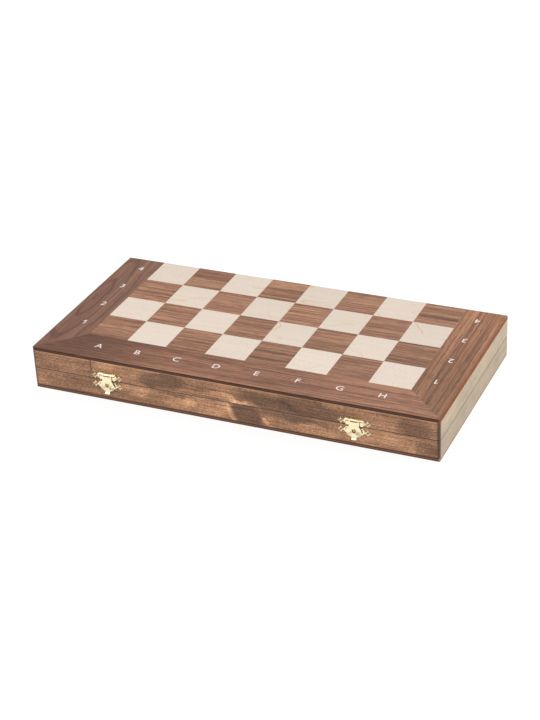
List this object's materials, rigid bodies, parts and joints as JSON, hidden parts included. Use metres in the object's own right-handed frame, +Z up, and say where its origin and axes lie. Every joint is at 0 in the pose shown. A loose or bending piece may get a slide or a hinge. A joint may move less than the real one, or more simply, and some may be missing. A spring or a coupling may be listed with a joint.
{
  "type": "folding chess case",
  "caption": "Folding wooden chess case whose outer faces form the board, with brass clasps and hinges and a full set of chessmen stored inside.",
  "frame": {"origin": "middle of the closed case's underside", "axes": "+X along the files from A to H, +Y towards the hinges, +Z up through the lid"},
  "size_m": [0.48, 0.2463, 0.052],
  "materials": {
    "walnut_squares": "satin lacquered walnut veneer",
    "maple_squares": "satin lacquered maple veneer",
    "walnut_border": "satin lacquered walnut veneer",
    "edge_walnut": "dark stained edge of the board panel",
    "stained_wall": "stained and lacquered beech",
    "inner_strips": "stained strips",
    "green_felt": "wool felt",
    "green_pads": "foam covered with felt",
    "brass": "polished pale brass",
    "brass_pins": "polished brass",
    "light_men": "lacquered boxwood",
    "dark_men": "lacquered dark stained wood"
  },
  "bodies": {
    "lower_half": {"lower_core_panel": "edge_walnut", "lower_light_squares": "maple_squares", "lower_dark_squares": "walnut_squares", "lower_front_border": "walnut_border", "lower_left_border": "walnut_border", "lower_right_border": "walnut_border", "lower_front_wall": "stained_wall", "lower_back_wall": "stained_wall", "lower_left_wall": "stained_wall", "lower_right_wall": "stained_wall", "lower_felt_liner": "green_felt", "lower_long_rails": "inner_strips", "lower_cross_dividers": "inner_strips", "lower_pads": "green_pads", "left_hinge_lower_leaf": "brass", "right_hinge_lower_leaf": "brass", "hinge_pins": "brass_pins", "lower_hinge_screws": "brass_pins", "left_clasp_lower_plate": "brass", "right_clasp_lower_plate": "brass", "lower_clasp_nails": "brass_pins", "white_king": "light_men", "white_queen": "light_men", "white_bishops": "light_men", "white_knights": "light_men", "white_rooks": "light_men", "white_pawns": "light_men", "white_base_felts": "green_felt"},
    "upper_half": {"upper_core_panel": "edge_walnut", "upper_light_squares": "maple_squares", "upper_dark_squares": "walnut_squares", "upper_front_border": "walnut_border", "upper_left_border": "walnut_border", "upper_right_border": "walnut_border", "upper_front_wall": "stained_wall", "upper_back_wall": "stained_wall", "upper_left_wall": "stained_wall", "upper_right_wall": "stained_wall", "upper_felt_liner": "green_felt", "upper_long_rails": "inner_strips", "upper_cross_dividers": "inner_strips", "upper_pads": "green_pads", "left_hinge_upper_leaf": "brass", "right_hinge_upper_leaf": "brass", "upper_hinge_screws": "brass_pins", "left_clasp_upper_plate": "brass", "right_clasp_upper_plate": "brass", "clasp_pins": "brass_pins", "upper_clasp_nails": "brass_pins", "black_king": "dark_men", "black_queen": "dark_men", "black_bishops": "dark_men", "black_knights": "dark_men", "black_rooks": "dark_men", "black_pawns": "dark_men", "black_base_felts": "green_felt"},
    "left_hasp": {"left_hasp": "brass"},
    "right_hasp": {"right_hasp": "brass"}
  },
  "joints": [
    {"name": "lid_fold", "type": "hinge", "parent": "lower_half", "child": "upper_half", "pos_m": [0, 0.1202, 0.026], "axis": [-1, 0, 0], "range_deg": [0, 180]},
    {"name": "left_hasp_lift", "type": "hinge", "parent": "upper_half", "child": "left_hasp", "pos_m": [-0.146, -0.12175, 0.0337], "axis": [-1, 0, 0], "range_deg": [0, 150]},
    {"name": "right_hasp_lift", "type": "hinge", "parent": "upper_half", "child": "right_hasp", "pos_m": [0.146, -0.12175, 0.0337], "axis": [-1, 0, 0], "range_deg": [0, 150]}
  ]
}
